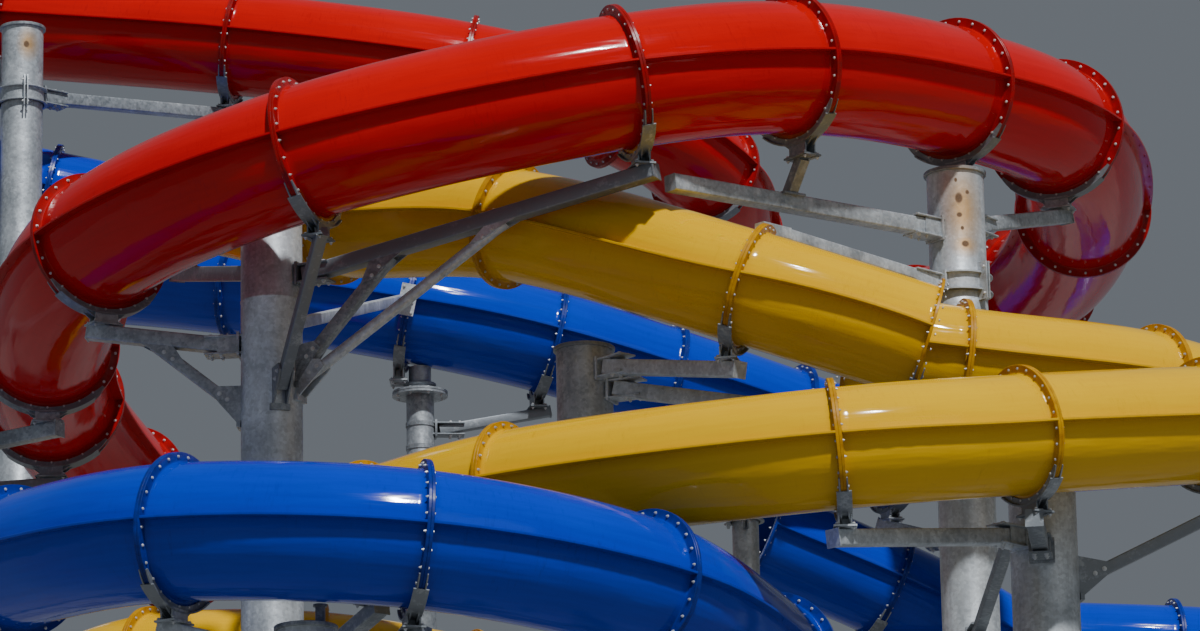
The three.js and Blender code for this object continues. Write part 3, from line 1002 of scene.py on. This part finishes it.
def pipe_joint(steel, bolts, spec):
    """Two bolted round plates where a narrower pipe carries on, and clamp bands below them."""
    axis = np.array([*spec["at"], PIPE_JOINT])
    turn = np.linspace(0, 2 * math.pi, 49)
    radius = spec["radius"]
    for low in (-0.0225, 0.0025):
        steel.add(sector(axis, SQUARE, turn, radius + BAND_GAP, radius + 0.13, low, low + 0.02), 0.6)
    places = [
        (axis + (radius + 0.09) * np.array([math.cos(a), math.sin(a), 0.0]), SQUARE)
        for a in np.radians(np.arange(22.5, 360, 45))
    ]
    bolts.add_copies(fastener(0.014, 0.045), places, 0.4)
    for drop in (0.3, 0.52, 0.74):
        band = axis - UP * drop
        steel.add(sector(band, SQUARE, turn, radius + BAND_GAP, radius + 0.008, -0.02, 0.02), 0.7)
    steel.add(rod(axis + UP * 0.02, axis + UP * STUB_TOP, STUB_RADIUS), 0.5)


def knee_brace(steel, bolts, spec):
    """The brace from the right column up to the back of the front column."""
    axis = np.array([*spec["at"], KNEE_BRACE])
    end = np.array([3.02, -2.62, 10.42])
    add_member(steel, bolts, axis, spec["radius"], end, STRUT, 0.8)


def upper_collar(steel, bolts, spec):
    """The collar round the left column at its upper beam."""
    toward = np.array([1.0, 0.25, 0.0])
    add_collar(steel, bolts, spec["at"], spec["radius"], UPPER_COLLAR, toward, 0.3)


def short_post(steel, _, spec):
    """A post with a cap on the column's top."""
    foot = np.array([*spec["at"], spec["top"] - 0.01]) + np.array([0.1, 0.0, 0.0])
    steel.add(rod(foot, foot + UP * 0.15, 0.035, 24), 0.8)
    steel.add(rod(foot + UP * 0.15, foot + UP * 0.165, 0.05, 24), 0.8)


# The members that only the looks have, by column
EXTRAS = {
    "loop_column": [back_beam],
    "right_column": [collar_beam, knee_brace],
    "left_column": [upper_collar],
    "back_column": [pipe_joint],
    "blue_column": [short_post],
}


def make_column(name, spec, finishes):
    steel, bolts = Shape(), Shape()
    welds = [height for height in WELD_HEIGHTS if height < spec["top"] - 0.4]
    # Columns get a lighter range than the arms, whose darker default is partly painted shade
    add_column(steel, bolts, spec, welds, member_tone_and_shade(name, low=0.05, high=0.4))
    for index, (height, run, station, size) in enumerate(spec["arms"]):
        tone = member_tone_and_shade(name, run, station)
        axis = np.array([*spec["at"], height])
        if (name, run, station) == ("right_column", "red_loop", 5):
            long_beam(steel, bolts, axis, spec["radius"], tone)
            continue
        foot = foot_of(run, station)
        end = foot - UP * BEAM / 4
        add_member(steel, bolts, axis, spec["radius"], end, size, tone, overhang=BEAM_OVERHANG)
        add_saddle(steel, bolts, run, station, end + UP * size / 2, tone)
        for column, arm, low, part, is_round, shade in PROPS:
            if (column, arm) != (name, index):
                continue
            joint = axis + (end - axis) * part
            base = np.array([*spec["at"], low])
            add_member(steel, bolts, base, spec["radius"], joint - UP * 0.05, STRUT, shade, is_round)
            under = joint - UP * size * 0.4
            add_gusset(steel, bolts, under, end - axis, base - joint, STRUT, shade)
    if "under" in spec:
        run, station = spec["under"]
        top = np.array([*spec["at"], spec["top"]])
        add_saddle(steel, bolts, run, station, top, member_tone_and_shade(name, run))
    for other, height in spec.get("ties", []):
        add_tie(steel, bolts, spec, COLUMNS[other], height, member_tone_and_shade(name, other))
    for add_extra in EXTRAS.get(name, []):
        add_extra(steel, bolts, spec)
    make_piece(f"{name}_steel", steel, finishes["steel"], name)
    make_piece(f"{name}_bolts", bolts, finishes["zinc"])


# Camera, light and floor

def make_camera():
    """The photograph's view: from 42 m off and 1.6 m up, pitched upwards and rolled a little."""
    camera = bpy.data.cameras.new("camera")
    camera.lens = 162
    camera.sensor_width = 36
    camera.sensor_fit = "HORIZONTAL"
    camera.clip_end = 400
    holder = bpy.data.objects.new("camera", camera)
    bpy.context.scene.collection.objects.link(holder)
    holder.location = SHIFT + np.array([0.0, -42.0, 1.6])
    pitch = Matrix.Rotation(math.radians(105.1), 3, "X")
    roll = Matrix.Rotation(math.radians(-1.08), 3, "Z")
    holder.rotation_euler = (pitch @ roll).to_euler()
    bpy.context.scene.camera = holder


def make_light(name, kind, energy, direction, distance=60.0, **settings):
    light = bpy.data.lights.new(name, kind)
    light.energy = energy
    for key, value in settings.items():
        setattr(light, key, value)
    holder = bpy.data.objects.new(name, light)
    bpy.context.scene.collection.objects.link(holder)
    out = Vector(direction).normalized()
    holder.location = out * distance + Vector((0, 0, 12))
    holder.rotation_euler = out.to_track_quat("Z", "Y").to_euler()


def make_studio():
    world = bpy.data.worlds.new("studio")
    world.use_nodes = True
    background = world.node_tree.nodes["Background"]
    background.inputs["Color"].default_value = (0.7, 0.78, 0.88, 1)
    background.inputs["Strength"].default_value = 0.2
    bpy.context.scene.world = world
    make_light("key", "SUN", 3.9, (0.2, -0.58, 0.79), angle=math.radians(2.5))
    make_light("fill", "AREA", 900, (0.5, -0.8, 0.35), shape="RECTANGLE", size=26, size_y=16)
    floor = bpy.data.meshes.new("floor")
    corners = [(x * FLOOR_REACH, y * FLOOR_REACH, 0) for x, y in ((-1, -1), (1, -1), (1, 1), (-1, 1))]
    floor.from_pydata(corners, [], [(0, 1, 2, 3)])
    floor.materials.append(concrete())
    ground = bpy.data.objects.new("floor", floor)
    bpy.context.scene.collection.objects.link(ground)


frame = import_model()
mounts = {mount["name"]: mount for mount in frame["record"]["mounts"]}
SHIFT = np.array(mounts["left_column_base"]["pos_m"]) - np.array([*COLUMNS["left_column"]["at"], 0.0])

make_camera()
make_studio()

# Centres and reaches of the stains: ochre tints and brown spots under the right column's cap and on
# the left column's top
TINTS = [
    (np.array([2.91, -0.62, 13.6]), (0.2, 0.2, 0.46)),
    (np.array([2.92, -0.62, 13.3]), (0.14, 0.2, 0.13)),
    (np.array([-5.52, 8.1, 17.98]), (0.13, 0.2, 0.2)),
]
SPOTS = [
    (np.array([2.88, -0.63, 13.68]), (0.036, 0.2, 0.052)),
    (np.array([2.95, -0.62, 13.73]), (0.018, 0.2, 0.022)),
    (np.array([2.88, -0.63, 13.54]), (0.026, 0.2, 0.024)),
    (np.array([2.9, -0.63, 13.43]), (0.016, 0.2, 0.02)),
    (np.array([2.92, -0.62, 13.3]), (0.034, 0.2, 0.03)),
    (np.array([2.86, -0.63, 13.83]), (0.014, 0.2, 0.022)),
    (np.array([-5.54, 8.1, 17.97]), (0.032, 0.2, 0.04)),
]
PAINTS = {
    "red": gelcoat("red_gelcoat", (0.53, 0.0, 0.002, 1), (0.6, 0.004, 0.006, 1),
                   (0.38, 0.0, 0.001, 1), (0.09, 0.004, 0.004, 1)),
    "yellow": gelcoat("yellow_gelcoat", (0.73, 0.42, 0.0, 1), (0.77, 0.47, 0.001, 1),
                      (0.64, 0.32, 0.0, 1), (0.28, 0.09, 0.002, 1)),
    "blue": gelcoat("blue_gelcoat", (0.0, 0.034, 0.48, 1), (0.001, 0.05, 0.54, 1),
                    (0.0, 0.014, 0.28, 1), (0.003, 0.008, 0.05, 1)),
}
FINISHES = {
    "steel": galvanised("galvanised", (TINTS, SPOTS), (0.86, 0.93, 0.98, 1), (0.2, 0.225, 0.25, 1)),
    "zinc": galvanised("zinc_bolts", None, (0.85, 0.87, 0.88, 1), (0.55, 0.57, 0.58, 1)),
}
for run_name in RUNS:
    make_run(run_name, PAINTS, FINISHES["zinc"])
for column_name, column_spec in COLUMNS.items():
    make_column(column_name, column_spec, FINISHES)
